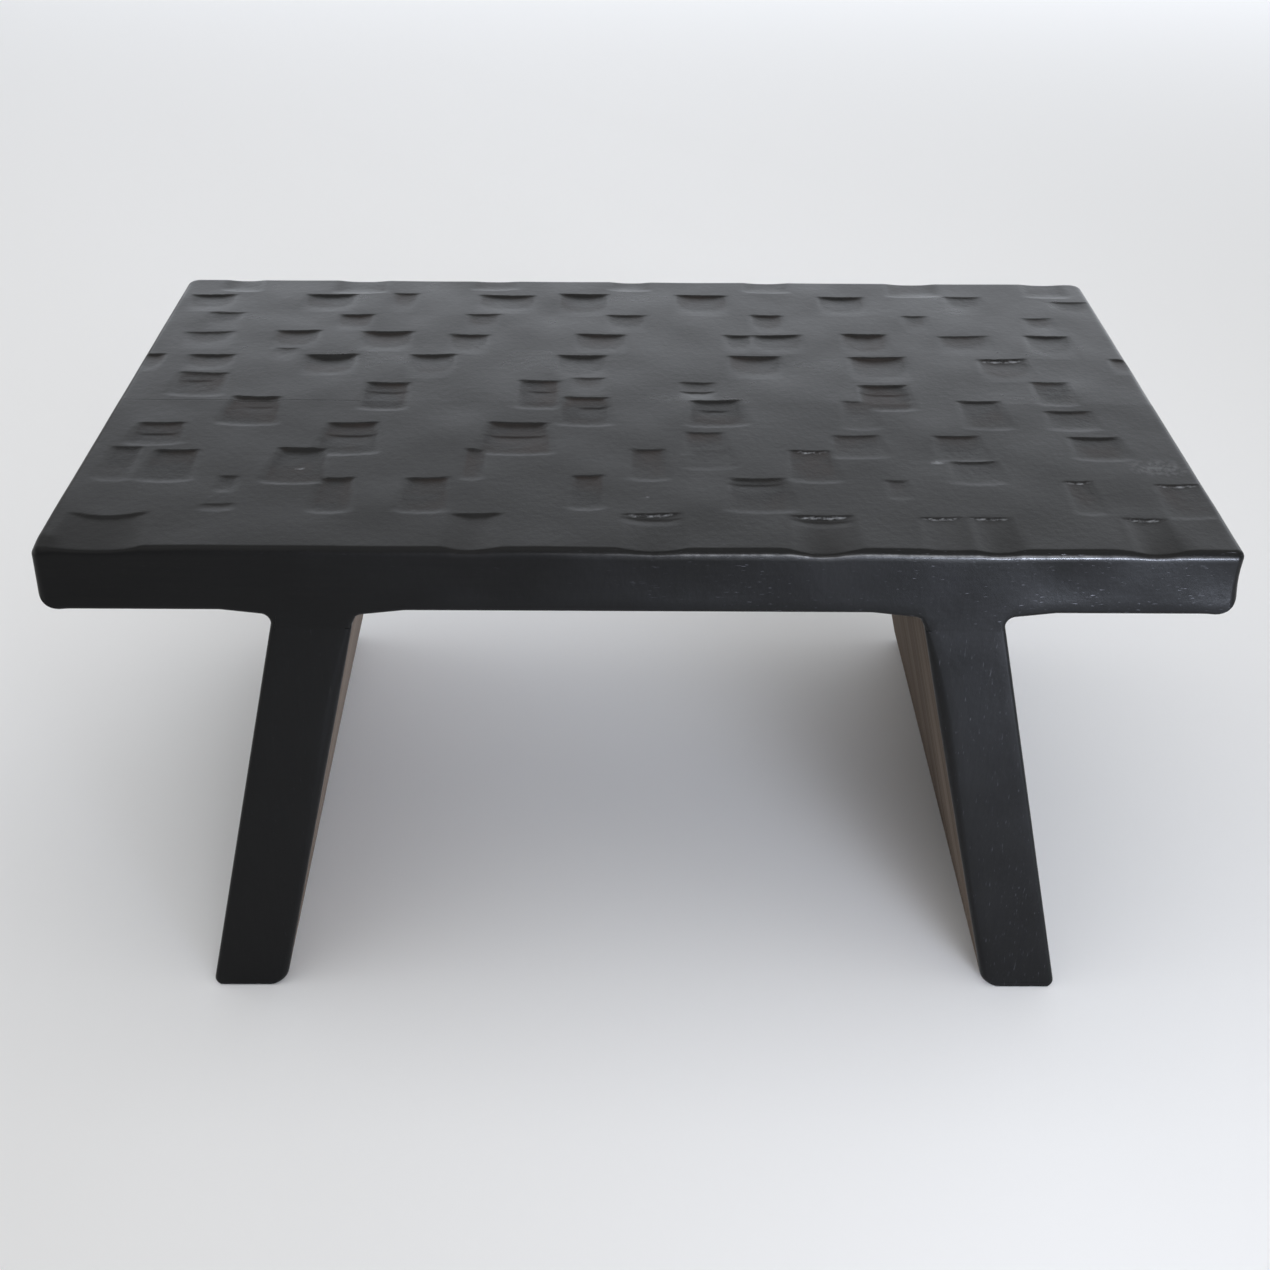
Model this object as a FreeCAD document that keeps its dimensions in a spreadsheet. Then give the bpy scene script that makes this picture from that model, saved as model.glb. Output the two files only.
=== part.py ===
import FreeCAD, Part
import math
import os
import Sketcher

# A low stool of blackened wood: a thick two-board seat on two splayed slab legs.
# The frame: +X along the seat, -Y the front, +Z up, origin on the floor under the middle of the seat.
# Each leg is two boards with blind tenons, spread by hidden wedges inside undercut mortises.

TOLERANCE = 1e-4  # mm, for telling edges apart

doc = FreeCAD.newDocument("stool")
sheet = doc.addObject("Spreadsheet::Sheet", "Sizes")

# Driving dimensions, in millimetres and degrees
SIZES = {
    # the whole stool
    "stool_height": 280.0,
    "seat_length": 600.0,
    "seat_depth": 390.0,
    "seat_thickness": 35.5,
    # the seat's two boards and their outline
    "seat_front_width": 184.0,
    "front_corner_radius": 5.0,
    "back_corner_radius": 8.0,
    "top_round": 4.0,
    "end_round": 11.0,
    # the bosses left on the underside over the legs
    "boss_height": 10.0,
    "boss_slope_drop": 3.0,
    "boss_slope_run": 26.0,
    "cove_radius": 5.0,
    # the slab legs
    "foot_inset": 61.0,
    "leg_splay": 12.8,
    "leg_thickness": 40.0,
    "leg_front_width": 206.0,
    "outer_foot_round": 4.0,
    "inner_foot_round": 11.0,
    # the blind tenons and their mortises
    "tenon_length": 30.0,
    "tenon_thickness": 22.0,
    "tenon_flare": 1.5,
    "tenon_edge_margin": 24.0,
    "tenon_gap": 25.0,
    "tenon_seam_margin": 25.0,
    "mortise_clearance": 0.1,
    "mortise_end_gap": 0.5,
    # the wedges and the saw kerfs that they spread
    "wedge_thickness": 4.0,
    "kerf_width": 1.0,
    "kerf_depth": 24.0,
    "wedge_tip_gap": 2.0,
    # the loose tongues in the glue seams
    "tongue_width": 24.0,
    "tongue_thickness": 9.0,
    "tongue_clearance": 0.1,
    "seat_tongue_stop": 32.0,
    "leg_tongue_foot_stop": 30.0,
    "leg_tongue_top_stop": 24.0,
}
for row, (name, value) in enumerate(SIZES.items(), start=1):
    sheet.set(f"A{row}", name)
    sheet.set(f"B{row}", str(value))
    sheet.setAlias(f"B{row}", name)
doc.recompute()

# Places shared by several pieces, as expressions on the sheet
FRONT = "(-Sizes.seat_depth / 2)"
BACK = "(Sizes.seat_depth / 2)"
SEAT_SEAM = f"({FRONT} + Sizes.seat_front_width)"
LEG_SEAM = f"({FRONT} + Sizes.leg_front_width)"
TOP = "Sizes.stool_height"
UNDERSIDE = f"({TOP} - Sizes.seat_thickness)"
SLOPE_FOOT = f"({UNDERSIDE} - Sizes.boss_slope_drop)"
SHOULDER = f"({UNDERSIDE} - Sizes.boss_height)"
TENON_TOP = f"({SHOULDER} + Sizes.tenon_length)"
KERF_END = f"({TENON_TOP} - Sizes.kerf_depth)"
LEG_ACROSS = "(Sizes.leg_thickness / cos(Sizes.leg_splay))"
FLOOR = "0"

# The tenons along Y, as start and width: two in the front boards and two in the back boards. Each pair
# shares the run from the stool's outer face to the nearer of the two glue seams.
FRONT_RUN = "min(Sizes.seat_front_width; Sizes.leg_front_width)"
BACK_RUN = "(Sizes.seat_depth - max(Sizes.seat_front_width; Sizes.leg_front_width))"
TENON_MARGINS = "(Sizes.tenon_edge_margin + Sizes.tenon_gap + Sizes.tenon_seam_margin)"
FRONT_TENON_WIDTH = f"(({FRONT_RUN} - {TENON_MARGINS}) / 2)"
BACK_TENON_WIDTH = f"(({BACK_RUN} - {TENON_MARGINS}) / 2)"
FRONT_TENONS = [
    (f"({FRONT} + Sizes.tenon_edge_margin)", FRONT_TENON_WIDTH),
    (f"({FRONT} + {FRONT_RUN} - Sizes.tenon_seam_margin - {FRONT_TENON_WIDTH})", FRONT_TENON_WIDTH),
]
BACK_TENONS = [
    (f"({BACK} - {BACK_RUN} + Sizes.tenon_seam_margin)", BACK_TENON_WIDTH),
    (f"({BACK} - Sizes.tenon_edge_margin - {BACK_TENON_WIDTH})", BACK_TENON_WIDTH),
]

LEFT = -1
RIGHT = 1


def value_of(expression):
    """The number that an expression on the sheet comes to."""
    return float(sheet.evalExpression(expression))


def leg_point(side, height, across):
    """A point of the front view: `across` outwards from a leg's sloping middle line, at a height."""
    foot_middle = f"Sizes.seat_length / 2 - Sizes.foot_inset - {LEG_ACROSS} / 2"
    x = f"{side} * ({foot_middle} - {height} * tan(Sizes.leg_splay) + ({across}))"
    return (x, height)


def new_sketch(body, name, plane, offset):
    """A sketch on one of a body's origin planes, moved along the plane's normal."""
    sketch = body.newObject("Sketcher::SketchObject", name)
    support = [feature for feature in body.Origin.OriginFeatures if feature.Role == plane][0]
    sketch.AttachmentSupport = [(support, "")]
    sketch.MapMode = "FlatFace"
    sketch.setExpression("AttachmentOffset.Base.z", offset)
    return sketch


def front_sketch(body, name, y):
    """A sketch in the front view, XZ, at a depth; that plane's normal points to the front."""
    return new_sketch(body, name, "XZ_Plane", f"-{y}")


def quarter_arc(start, end, centre):
    """A quarter circle between two points, drawn anticlockwise, and whether that is from start to end."""
    forwards = (start - centre).cross(end - centre).z > 0
    first, last = (start, end) if forwards else (end, start)
    angles = [math.atan2(point.y - centre.y, point.x - centre.x) for point in (first, last)]
    circle = Part.Circle(centre, FreeCAD.Vector(0, 0, 1), (start - centre).Length)
    return Part.ArcOfCircle(circle, *angles), forwards


def draw_outline(sketch, corners, rounds=None):
    """A closed outline through corners given as expressions. `rounds` makes the line from a corner to
    the next one a quarter arc: corner number to radius and the centre's place."""
    rounds = rounds or {}
    points = [FreeCAD.Vector(value_of(x), value_of(y), 0) for x, y in corners]
    first = sketch.GeometryCount
    count = len(corners)
    starts = []
    for number in range(count):
        start = points[number]
        end = points[(number + 1) % count]
        forwards = True
        curve = None
        if number in rounds:
            centre = FreeCAD.Vector(*(value_of(place) for place in rounds[number][1]), 0)
            curve, forwards = quarter_arc(start, end, centre)
        sketch.addGeometry(curve or Part.LineSegment(start, end), False)
        # an arc is drawn anticlockwise, so its first point may be the outline's second
        starts.append(1 if forwards else 2)
    for number in range(count):
        following = (number + 1) % count
        ends_at = 3 - starts[number]
        sketch.addConstraint(
            Sketcher.Constraint("Coincident", first + number, ends_at, first + following, starts[following])
        )
    for number, (x, y) in enumerate(corners):
        for kind, place, coordinate in (("DistanceX", x, points[number].x), ("DistanceY", y, points[number].y)):
            constraint = sketch.addConstraint(
                Sketcher.Constraint(kind, -1, 1, first + number, starts[number], coordinate)
            )
            sketch.setExpression(f"Constraints[{constraint}]", place)
    for number, (radius, _) in rounds.items():
        constraint = sketch.addConstraint(Sketcher.Constraint("Radius", first + number, value_of(radius)))
        sketch.setExpression(f"Constraints[{constraint}]", radius)


def pad(body, sketch, length, towards_back):
    """Thickens a front-view sketch towards the back or the front."""
    feature = body.newObject("PartDesign::Pad", f"{sketch.Name}_pad")
    feature.Profile = sketch
    feature.setExpression("Length", length)
    feature.Reversed = towards_back
    doc.recompute()
    return feature


def pocket(body, sketch, length=None, towards_back=True):
    """Cuts a sketch into a body for a length, or right through both ways if no length is given."""
    before = body.Shape.Volume
    feature = body.newObject("PartDesign::Pocket", f"{sketch.Name}_cut")
    feature.Profile = sketch
    if length is None:
        feature.Type = "ThroughAll"
        feature.SideType = "Symmetric"
    else:
        feature.setExpression("Length", length)
        feature.Reversed = not towards_back
    doc.recompute()
    if body.Shape.Volume > before - TOLERANCE:
        raise RuntimeError(f"{body.Label}: {feature.Name} removes nothing")
    return feature


def fillet(body, name, radius, chosen):
    """Rounds the edges of a body that a test picks."""
    base = body.Tip
    names = [f"Edge{number}" for number, edge in enumerate(base.Shape.Edges, start=1) if chosen(edge)]
    if not names:
        raise RuntimeError(f"{body.Label}: {name} finds no edge")
    feature = body.newObject("PartDesign::Fillet", name)
    feature.Base = (base, names)
    feature.setExpression("Radius", radius)
    doc.recompute()
    return feature


def runs_along_y_at(edge, places):
    """Whether an edge runs front to back through one of some points of the front view."""
    low, high = edge.Vertexes[0].Point, edge.Vertexes[-1].Point
    if abs(low.x - high.x) > TOLERANCE or abs(low.z - high.z) > TOLERANCE:
        return False
    return any(abs(low.x - x) < TOLERANCE and abs(low.z - z) < TOLERANCE for x, z in places)


def numbers(points):
    """The numbers of points that are given as expressions."""
    return [(value_of(x), value_of(y)) for x, y in points]


def new_body(label):
    body = doc.addObject("PartDesign::Body", label)
    body.Label = label
    return body


# The seat boards

def boss_corners(side):
    """The coved boss over one leg, from its outer slope round to its inner slope."""
    half = f"{LEG_ACROSS} / 2"
    outer_x, _ = leg_point(side, SLOPE_FOOT, half)
    inner_x, _ = leg_point(side, SLOPE_FOOT, f"-{half}")
    return [
        (f"{outer_x} + {side} * Sizes.boss_slope_run", UNDERSIDE),
        leg_point(side, SLOPE_FOOT, half),
        leg_point(side, SHOULDER, half),
        leg_point(side, SHOULDER, f"-{half}"),
        leg_point(side, SLOPE_FOOT, f"-{half}"),
        (f"{inner_x} - {side} * Sizes.boss_slope_run", UNDERSIDE),
    ]


def seat_outline():
    """The seat's front view: square above, rounded below at both ends, with a boss over each leg."""
    end = "Sizes.seat_length / 2"
    radius = "Sizes.end_round"
    round_top = f"{UNDERSIDE} + {radius}"
    left_centre = (f"-{end} + {radius}", round_top)
    right_centre = (f"{end} - {radius}", round_top)
    corners = [(f"-{end}", TOP), (f"-{end}", round_top), (f"-{end} + {radius}", UNDERSIDE)]
    corners += boss_corners(LEFT)
    corners += list(reversed(boss_corners(RIGHT)))
    right_round = len(corners)
    corners += [(f"{end} - {radius}", UNDERSIDE), (end, round_top), (end, TOP)]
    return corners, {1: (radius, left_centre), right_round: (radius, right_centre)}


def mortise(side):
    """The undercut hole for one tenon, with its clearance and the gap over the tenon's end."""
    neck = "Sizes.tenon_thickness / 2 + Sizes.mortise_clearance"
    reach = "(Sizes.tenon_length + Sizes.mortise_end_gap)"
    blind = f"{neck} + Sizes.tenon_flare * {reach} / Sizes.tenon_length"
    blind_height = f"({SHOULDER} + {reach})"
    return [
        leg_point(side, SHOULDER, neck),
        leg_point(side, blind_height, blind),
        leg_point(side, blind_height, f"-({blind})"),
        leg_point(side, SHOULDER, f"-({neck})"),
    ]


def corner_slug(side, edge, inwards):
    """The waste outside one rounded corner of the seat, in plan."""
    end = f"{side} * Sizes.seat_length / 2"
    radius = "Sizes.front_corner_radius" if inwards > 0 else "Sizes.back_corner_radius"
    inside = f"{end} - {side} * {radius}"
    tangent = f"{edge} + {inwards} * {radius}"
    return [(end, edge), (inside, edge), (end, tangent)], {1: (radius, (inside, tangent))}


def seat_board(label, edge, width, inwards, tenons):
    """One seat board, from its outer edge in to the glue seam."""
    body = new_body(label)
    towards_back = inwards > 0

    sketch = front_sketch(body, f"{label}_outline", edge)
    draw_outline(sketch, *seat_outline())
    pad(body, sketch, width, towards_back)

    coves = numbers([boss_corners(side)[corner] for side in (LEFT, RIGHT) for corner in (1, 4)])
    fillet(body, f"{label}_coves", "Sizes.cove_radius", lambda edge_: runs_along_y_at(edge_, coves))

    sketch = new_sketch(body, f"{label}_corners", "XY_Plane", FLOOR)
    for side in (LEFT, RIGHT):
        draw_outline(sketch, *corner_slug(side, edge, inwards))
    pocket(body, sketch)

    top = value_of(TOP)
    seam = value_of(SEAT_SEAM)

    def on_rim(edge_):
        on_top = all(abs(vertex.Z - top) < TOLERANCE for vertex in edge_.Vertexes)
        return on_top and any(abs(vertex.Y - seam) > TOLERANCE for vertex in edge_.Vertexes)

    fillet(body, f"{label}_rim", "Sizes.top_round", on_rim)

    for number, (start, tenon_width) in enumerate(tenons, start=1):
        sketch = front_sketch(body, f"{label}_mortises_{number}", f"({start} - Sizes.mortise_clearance)")
        for side in (LEFT, RIGHT):
            draw_outline(sketch, mortise(side))
        pocket(body, sketch, f"{tenon_width} + 2 * Sizes.mortise_clearance")

    sketch = front_sketch(body, f"{label}_groove", SEAT_SEAM)
    draw_outline(sketch, seat_tongue("Sizes.tongue_clearance"))
    pocket(body, sketch, "Sizes.tongue_width / 2 + Sizes.tongue_clearance", not towards_back)
    return body


def seat_tongue(clearance):
    """The seat's loose tongue in the front view, or its groove if a clearance is given."""
    reach = f"(Sizes.seat_length / 2 - Sizes.seat_tongue_stop + {clearance})"
    middle = f"({TOP} - Sizes.seat_thickness / 2)"
    half = f"(Sizes.tongue_thickness / 2 + {clearance})"
    return [
        (f"-{reach}", f"{middle} - {half}"),
        (reach, f"{middle} - {half}"),
        (reach, f"{middle} + {half}"),
        (f"-{reach}", f"{middle} + {half}"),
    ]


# The legs

def leg_outline(side):
    """A leg board's front view: the splayed slab, its tenon and the wedge-shaped kerf in the tenon."""
    outer_half = [
        (FLOOR, f"{LEG_ACROSS} / 2"),
        (SHOULDER, f"{LEG_ACROSS} / 2"),
        (SHOULDER, "Sizes.tenon_thickness / 2"),
        (TENON_TOP, "Sizes.tenon_thickness / 2 + Sizes.tenon_flare"),
        (TENON_TOP, "Sizes.wedge_thickness / 2"),
        (KERF_END, "Sizes.kerf_width / 2"),
    ]
    corners = [leg_point(side, height, across) for height, across in outer_half]
    corners += [leg_point(side, height, f"-({across})") for height, across in reversed(outer_half)]
    return corners


def wedge_outline(side):
    """A wedge in the front view: it fills its kerf down to a small gap at the tip."""
    taper = "(Sizes.wedge_thickness - Sizes.kerf_width) / Sizes.kerf_depth"
    tip_half = f"(Sizes.kerf_width + {taper} * Sizes.wedge_tip_gap) / 2"
    tip = f"({KERF_END} + Sizes.wedge_tip_gap)"
    return [
        leg_point(side, tip, tip_half),
        leg_point(side, TENON_TOP, "Sizes.wedge_thickness / 2"),
        leg_point(side, TENON_TOP, "-Sizes.wedge_thickness / 2"),
        leg_point(side, tip, f"-({tip_half})"),
    ]


def leg_tongue(side, clearance):
    """A leg's loose tongue in the front view, or its groove if a clearance is given."""
    low = f"(Sizes.leg_tongue_foot_stop - {clearance})"
    high = f"({SHOULDER} - Sizes.leg_tongue_top_stop + {clearance})"
    half = f"(Sizes.tongue_thickness / 2 + {clearance})"
    return [
        leg_point(side, low, half),
        leg_point(side, high, half),
        leg_point(side, high, f"-{half}"),
        leg_point(side, low, f"-{half}"),
    ]


def leg_board(label, side, edge, width, inwards, tenons):
    """One board of a leg, from the leg's front or back face in to its glue seam."""
    body = new_body(label)
    towards_back = inwards > 0

    sketch = front_sketch(body, f"{label}_outline", edge)
    draw_outline(sketch, leg_outline(side))
    pad(body, sketch, width, towards_back)

    outer_foot = numbers([leg_point(side, FLOOR, f"{LEG_ACROSS} / 2")])
    inner_foot = numbers([leg_point(side, FLOOR, f"-{LEG_ACROSS} / 2")])
    fillet(body, f"{label}_outer_foot", "Sizes.outer_foot_round", lambda e: runs_along_y_at(e, outer_foot))
    fillet(body, f"{label}_inner_foot", "Sizes.inner_foot_round", lambda e: runs_along_y_at(e, inner_foot))

    # the waste before, between and after the tenons
    near = FRONT if towards_back else LEG_SEAM
    far = LEG_SEAM if towards_back else BACK
    edges = [near]
    for start, tenon_width in tenons:
        edges += [start, f"{start} + {tenon_width}"]
    edges.append(far)
    sketch = new_sketch(body, f"{label}_tenon_gaps", "YZ_Plane", FLOOR)
    for low, high in zip(edges[::2], edges[1::2]):
        draw_outline(sketch, [(low, SHOULDER), (high, SHOULDER), (high, TENON_TOP), (low, TENON_TOP)])
    pocket(body, sketch)

    sketch = front_sketch(body, f"{label}_groove", LEG_SEAM)
    draw_outline(sketch, leg_tongue(side, "Sizes.tongue_clearance"))
    pocket(body, sketch, "Sizes.tongue_width / 2 + Sizes.tongue_clearance", not towards_back)
    return body


def plain_board(label, outline, start, width):
    """A piece of one even thickness, from a depth towards the back: a tongue or a wedge."""
    body = new_body(label)
    sketch = front_sketch(body, f"{label}_outline", start)
    draw_outline(sketch, outline)
    pad(body, sketch, width, True)
    return body


def leg(name, side):
    """The pieces of one leg: two boards, their tongue and a wedge in each tenon."""
    back_width = "Sizes.seat_depth - Sizes.leg_front_width"
    tongue_start = f"({LEG_SEAM} - Sizes.tongue_width / 2)"
    pieces = [
        leg_board(f"{name}_leg_front_board", side, FRONT, "Sizes.leg_front_width", 1, FRONT_TENONS),
        leg_board(f"{name}_leg_back_board", side, BACK, back_width, -1, BACK_TENONS),
        plain_board(f"{name}_leg_loose_tongue", leg_tongue(side, "0"), tongue_start, "Sizes.tongue_width"),
    ]
    for number, (start, tenon_width) in enumerate(FRONT_TENONS + BACK_TENONS, start=1):
        label = f"{name}_tenon_wedge_{number}"
        pieces.append(plain_board(label, wedge_outline(side), start, tenon_width))
    return pieces


seat_back_width = "Sizes.seat_depth - Sizes.seat_front_width"
seat_tongue_start = f"({SEAT_SEAM} - Sizes.tongue_width / 2)"
sub_parts = [
    seat_board("seat_front_board", FRONT, "Sizes.seat_front_width", 1, FRONT_TENONS),
    seat_board("seat_back_board", BACK, seat_back_width, -1, BACK_TENONS),
    plain_board("seat_loose_tongue", seat_tongue("0"), seat_tongue_start, "Sizes.tongue_width"),
]
sub_parts += leg("left", LEFT)
sub_parts += leg("right", RIGHT)
doc.recompute()

# Nothing is written unless every feature worked and every piece is one sound solid
for feature in doc.Objects:
    if "Invalid" in feature.State or "Error" in feature.State:
        raise RuntimeError(f"{feature.Label} failed: {feature.State}")
for piece in sub_parts:
    if piece.Shape.isNull() or not piece.Shape.isValid() or len(piece.Shape.Solids) != 1:
        raise RuntimeError(f"{piece.Label} is not one sound solid")

os.makedirs("parts", exist_ok=True)
for piece in sub_parts:
    piece.Shape.exportStep(f"parts/{piece.Label}.step")
    box = piece.Shape.BoundBox
    print(
        f"{piece.Label}: {piece.Shape.Volume / 1000:.1f} cm3,"
        f" x {box.XMin:.1f} to {box.XMax:.1f}, y {box.YMin:.1f} to {box.YMax:.1f},"
        f" z {box.ZMin:.1f} to {box.ZMax:.1f}"
    )
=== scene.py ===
import math
from collections import namedtuple

import bmesh
import bpy
import numpy as np
from mathutils import Matrix, Vector


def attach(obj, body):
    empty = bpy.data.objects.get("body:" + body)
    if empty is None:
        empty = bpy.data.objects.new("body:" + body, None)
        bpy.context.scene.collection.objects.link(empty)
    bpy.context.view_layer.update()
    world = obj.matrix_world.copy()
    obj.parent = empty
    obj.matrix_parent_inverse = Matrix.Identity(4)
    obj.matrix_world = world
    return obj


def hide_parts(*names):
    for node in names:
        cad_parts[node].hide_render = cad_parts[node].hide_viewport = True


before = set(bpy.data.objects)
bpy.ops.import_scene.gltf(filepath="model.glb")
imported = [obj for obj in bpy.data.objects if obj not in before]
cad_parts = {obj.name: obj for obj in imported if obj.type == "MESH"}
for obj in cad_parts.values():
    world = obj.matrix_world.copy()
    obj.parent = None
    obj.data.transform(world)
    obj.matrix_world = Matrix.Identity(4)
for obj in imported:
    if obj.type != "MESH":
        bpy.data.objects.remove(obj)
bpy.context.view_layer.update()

MM = 0.001
# lengths in mm that count as nothing, and as the same place on a grid
TINY = 1e-6
SAME_PLACE = 0.01

# Camera, fitted to the stool's corners in the photograph (pixels, mm and degrees)
PHOTO_PIXELS = 1270
FOCAL_PIXELS = 1837.2
SENSOR_MM = 36.0
CAMERA_PLACE = Vector((-9.3, -994.4, 701.5))
CAMERA_PITCH = 30.440
CAMERA_YAW = -0.539
CAMERA_ROLL = 0.533

# Seat, in mm, as the solids have it
SEAT_END = 300.0
SEAT_FRONT = -195.0
SEAT_BACK = 195.0
SEAT_SEAM = -11.0
SEAT_TOP = 280.0
UNDERSIDE = 244.5
SHOULDER = 234.5
FRONT_CORNER = 5.0
BACK_CORNER = 8.0
TOP_ROUND = 4.0
END_ROUND = 11.0
BOSS_SLOPE_RUN = 26.0
BOSS_SLOPE_FOOT = 241.5
COVE_RADIUS = 5.0

# Hand work on the seat's edges, in mm. The lower long edges are rounded where the side faces front or back,
# given as a share of its direction, and lose most of the rounding where the ends curve up.
LOWER_ROUND = 2.5
LOWER_ROUND_FACING = (0.75, 1.0)
LOWER_ROUND_FADES = (284.0, 296.0)
LOWER_ROUND_LOSS = 0.8
# the glue seam shows as a hairline from the left end to here, and then closes
SEAM_ROUND = 0.12
CLOSED_SEAM_ROUND = 0.01
OPEN_SEAM = (-165.0, -135.0)
# the plane left shallow hollows in the sides: mean depth, mm per radian along x, along y and in their sway,
# and where they end before a leg and start again past it
FACE_HOLLOW = 0.35
HOLLOW_WAVES = (23.0, 31.0, 41.0)
HOLLOW_ENDS = (110.0, 138.0)
HOLLOW_STARTS = (182.0, 210.0)

# Steps of the seat's lower outline, round a cove and round an end
COVE_STEPS = 6
END_STEPS = 12
# points of that outline where the inner cove ends and the outer one starts, and the places on the top's grid
# that lead to the points between them: the cove's end, the two shoulders, the cove's start
INNER_COVE_END = 2 + COVE_STEPS
OUTER_COVE_START = INNER_COVE_END + 3
BOSS_GRID_PLACES = [143.0, 145.5, 174.0, 176.5]
INNER_SHOULDER, OUTER_SHOULDER = BOSS_GRID_PLACES[1:3]
# the outline's direction at a point is taken between points this far behind and ahead, in mm
DIRECTION_REACH = 0.4

# Legs, in mm: x of each face at the floor, and how far it moves in for each mm of height
LEG_LEAN_DEGREES = 12.8
LEG_LEAN = math.tan(math.radians(LEG_LEAN_DEGREES))
LEG_THICKNESS = 40.0
LEG_OUTER_FOOT = 239.0
LEG_INNER_FOOT = LEG_OUTER_FOOT - LEG_THICKNESS / math.cos(math.radians(LEG_LEAN_DEGREES))
LEG_SEAM = 11.0
OUTER_FOOT_ROUND = 4.0
INNER_FOOT_ROUND = 11.0
FRONT_FOOT_ROUND = 1.5
OUTER_ARRIS = 2.5
# the inner arris is worked rounder below the seat: height and radius
INNER_ARRIS_HEIGHTS = [0.0, 80.0, 185.0, 215.0, SHOULDER]
INNER_ARRIS_RADII = [4.0, 3.5, 6.5, 5.0, LOWER_ROUND]
# the stain runs this far past the arris onto the bare inner face
STAINED_BAND = 3.0
BAND_TOLERANCE = 0.1
# the left leg thins towards its back foot, as its narrow inner face in the photograph shows
LEFT_LEG_BACK_THINNING = 8.0

# Grid of a seat board's top, in mm: fine enough for the small walls of the adze marks
GRID_STEP_X = 2.0
GRID_STEP_Y = 0.78
RIM_LINES = 6
# Levels of a seat board's sides: shares of the way down to the rounding of the lower edge, then the levels
# round it. Where the edge isn't rounded, those are squeezed into the last of the way down.
FACE_SHARES = [0.0, 0.05, 0.24, 0.43, 0.62, 0.81]
ROUND_LEVELS = 6
SQUEEZED_FROM = 0.995
SIDE_LEVELS = len(FACE_SHARES) - 1 + ROUND_LEVELS

# Steps around a leg board: along its faces, across it and round each arris, and its levels in mm
LEG_FACE_STEPS = 16
LEG_ACROSS_STEPS = 8
LEG_ARRIS_STEPS = 6
LEG_FOOT_LEVELS = [0.0, 0.2, 0.6, 1.2, 2.2, 3.6, 5.2, 7.0, 9.0, 12.0]
LEG_SHAFT_LEVELS = [20.0 + 8.0 * step for step in range(27)]
LEG_LEVELS = np.array(LEG_FOOT_LEVELS + LEG_SHAFT_LEVELS + [SHOULDER])

# Corners sharper than this, in degrees, are shaded as corners
SEAT_SHARP = 55.0
LEG_SHARP = 40.0

# Adze bites on the seat, read off the photograph in pixels, with depth in mm:
# left and right end of the dark far wall, its height in the picture, the near lip's height, depth
Bite = namedtuple("Bite", "left right wall lip depth")
BITES_OVER_BACK_EDGE = [
    (236, 270, 268, 291, 1.2), (345, 392, 268, 293, 1.4), (478, 520, 268, 290, 1.0),
    (612, 648, 268, 291, 1.3), (742, 782, 268, 293, 1.3), (880, 926, 268, 297, 1.4),
    (1012, 1050, 268, 298, 1.2),
]
BITES_BACK_BOARD = [
    (193, 238, 294, 312, 1.6), (308, 358, 294, 312, 1.8), (394, 420, 293, 313, 1.0),
    (480, 536, 295, 314, 1.8), (560, 608, 294, 317, 2.2), (675, 727, 295, 317, 1.8),
    (817, 863, 297, 317, 1.8), (942, 980, 297, 315, 0.9), (1048, 1088, 302, 319, 0.8),
    (210, 246, 312, 330, 0.8), (341, 375, 314, 331, 1.6), (467, 501, 314, 332, 1.0),
    (606, 646, 315, 333, 1.2), (750, 782, 315, 334, 1.5), (900, 926, 316, 334, 0.8),
    (1021, 1051, 318, 336, 0.8),
    (186, 236, 331, 350, 0.9), (278, 322, 330, 350, 1.7), (364, 414, 331, 352, 2.2),
    (450, 490, 334, 355, 1.5), (576, 626, 334, 354, 1.9), (724, 751, 335, 354, 1.4),
    (751, 801, 335, 355, 1.7), (841, 885, 334, 356, 2.2), (936, 988, 336, 357, 1.0),
    (1023, 1068, 336, 360, 1.5),
    (143, 166, 353, 372, 1.5), (190, 236, 354, 371, 1.6), (276, 300, 347, 362, 0.6),
    (308, 358, 354, 376, 2.8), (411, 457, 354, 379, 1.8), (558, 606, 355, 380, 1.9),
    (728, 780, 356, 380, 2.0), (848, 904, 357, 383, 2.2), (977, 1025, 359, 383, 2.0),
    (1108, 1128, 359, 376, 1.3),
    (571, 606, 377, 396, 0.8), (679, 715, 382, 399, 0.9),
]
BITES_AT_SEAM = [
    (180, 230, 372, 396, 0.9), (368, 410, 382, 410, 1.4), (520, 560, 380, 409, 1.1),
    (859, 905, 385, 411, 1.4), (1030, 1066, 382, 406, 0.9),
]
BITES_FRONT_BOARD = [
    (235, 281, 396, 425, 1.9), (565, 607, 397, 426, 1.5), (692, 738, 400, 427, 1.7),
    (841, 871, 401, 430, 0.7),
    (141, 185, 422, 445, 1.5), (330, 378, 422, 455, 2.0), (490, 546, 422, 455, 2.2),
    (686, 722, 432, 457, 0.9), (832, 878, 435, 459, 1.0),
    (114, 142, 446, 481, 1.0), (157, 199, 449, 482, 1.5), (281, 327, 447, 484, 2.3),
    (467, 485, 448, 480, 1.3), (632, 664, 449, 481, 1.1), (688, 730, 448, 470, 0.6),
    (790, 829, 450, 483, 1.4),
    (222, 238, 475, 492, 1.0), (322, 354, 477, 513, 1.6), (408, 448, 477, 513, 1.6),
    (574, 602, 475, 510, 1.4), (730, 784, 478, 513, 1.2), (204, 232, 503, 511, 0.8),
]
BITES_FRONT_RIGHT = [
    (957, 999, 401, 430, 1.0), (1044, 1090, 411, 431, 0.9), (933, 979, 436, 462, 0.9),
    (1068, 1118, 437, 461, 1.1), (948, 996, 461, 485, 0.8), (886, 906, 480, 500, 0.6),
    (1064, 1090, 481, 515, 0.8), (1154, 1200, 484, 519, 0.9),
]
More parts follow.
